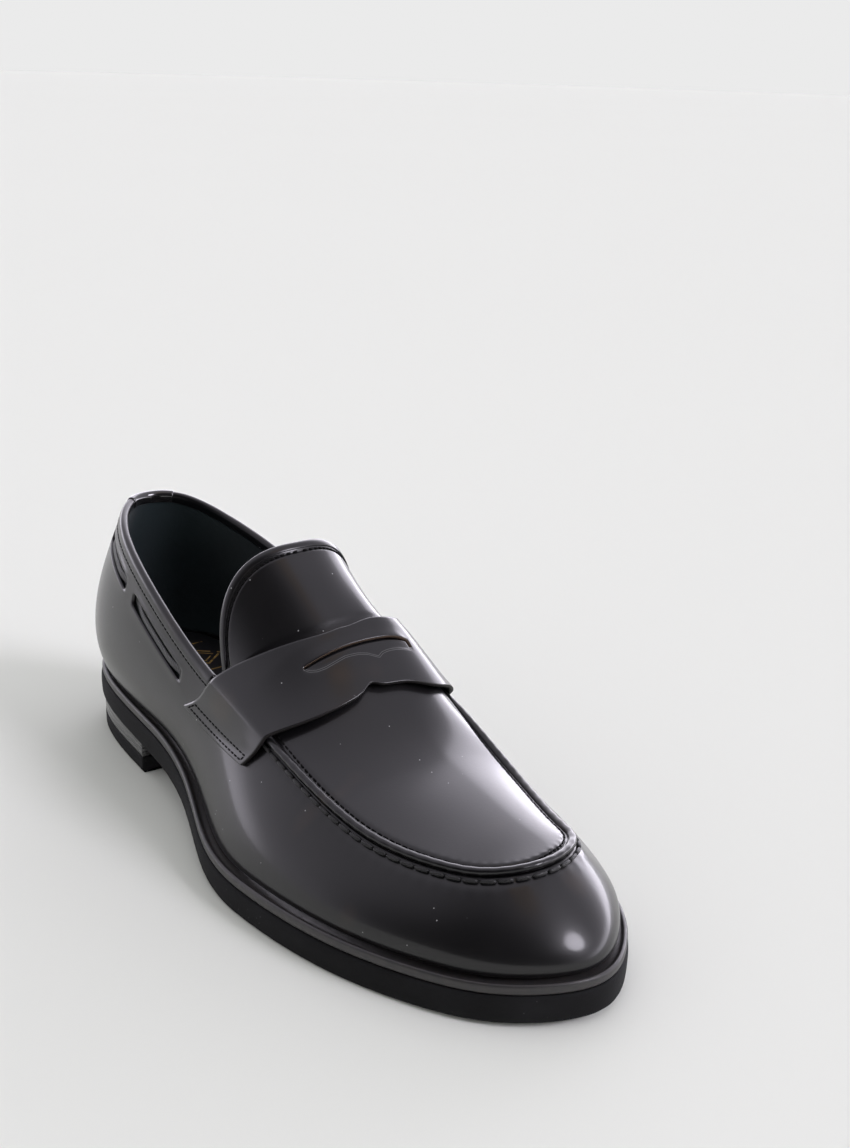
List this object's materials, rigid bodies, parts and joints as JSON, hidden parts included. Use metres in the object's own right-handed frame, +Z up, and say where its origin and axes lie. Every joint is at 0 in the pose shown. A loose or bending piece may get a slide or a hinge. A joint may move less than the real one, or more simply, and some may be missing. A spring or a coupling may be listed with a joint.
{
  "type": "penny loafer",
  "caption": "Right-foot penny loafer with apron front, slotted saddle strap, hinged tongue flap, lace-trimmed collar and low stacked heel.",
  "frame": {"origin": "middle of the bounding box on the ground", "axes": "+X heel to toe, +Y to the inner (medial) side, +Z up"},
  "size_m": [0.3044, 0.1141, 0.109],
  "materials": {
    "upper_leather": "polished",
    "lining_leather": "matte",
    "lace_leather": "satin",
    "tab_patent": "gloss",
    "thread": "waxed",
    "welt_strip": "satin",
    "outsole_rubber": "matte",
    "heel_stack": "burnished",
    "top_piece_rubber": "matte",
    "insole_fibre": "matte",
    "filler_cork": "matte",
    "pad_foam": "matte",
    "insock_leather": "satin",
    "stiffener_fibre": "matte",
    "steel": "brushed"
  },
  "bodies": {
    "shoe": {"heel_nails": "steel", "outsole": "outsole_rubber", "welt": "welt_strip", "heel_block": "heel_stack", "heel_top_piece": "top_piece_rubber", "shank": "steel", "bottom_filler": "filler_cork", "insole_board": "insole_fibre", "heel_pad": "pad_foam", "insock": "insock_leather", "vamp": "upper_leather", "medial_quarter": "upper_leather", "toe_puff": "stiffener_fibre", "heel_counter": "stiffener_fibre", "quarter_lining": "lining_leather", "collar_lace": "lace_leather", "apron": "upper_leather", "vamp_lining": "lining_leather", "apron_piping": "upper_leather", "topline_binding": "upper_leather", "back_tab": "tab_patent", "saddle_strap": "upper_leather", "slot_backing": "upper_leather", "apron_outer_stitches": "thread", "apron_inner_stitches": "thread", "topline_stitches": "thread", "medial_seam_stitches": "thread", "saddle_stitches_lateral": "thread", "saddle_stitches_medial": "thread"},
    "tongue_flap": {"tongue": "upper_leather", "tongue_lining": "lining_leather", "tongue_binding": "upper_leather", "tongue_stitches": "thread"}
  },
  "joints": [
    {"name": "tongue_hinge", "type": "hinge", "parent": "shoe", "child": "tongue_flap", "pos_m": [0.0045, 0.0055, 0.0825], "axis": [0, 1, 0], "range_deg": [0, 25], "stiffness_Nm_per_rad": 0.05}
  ]
}
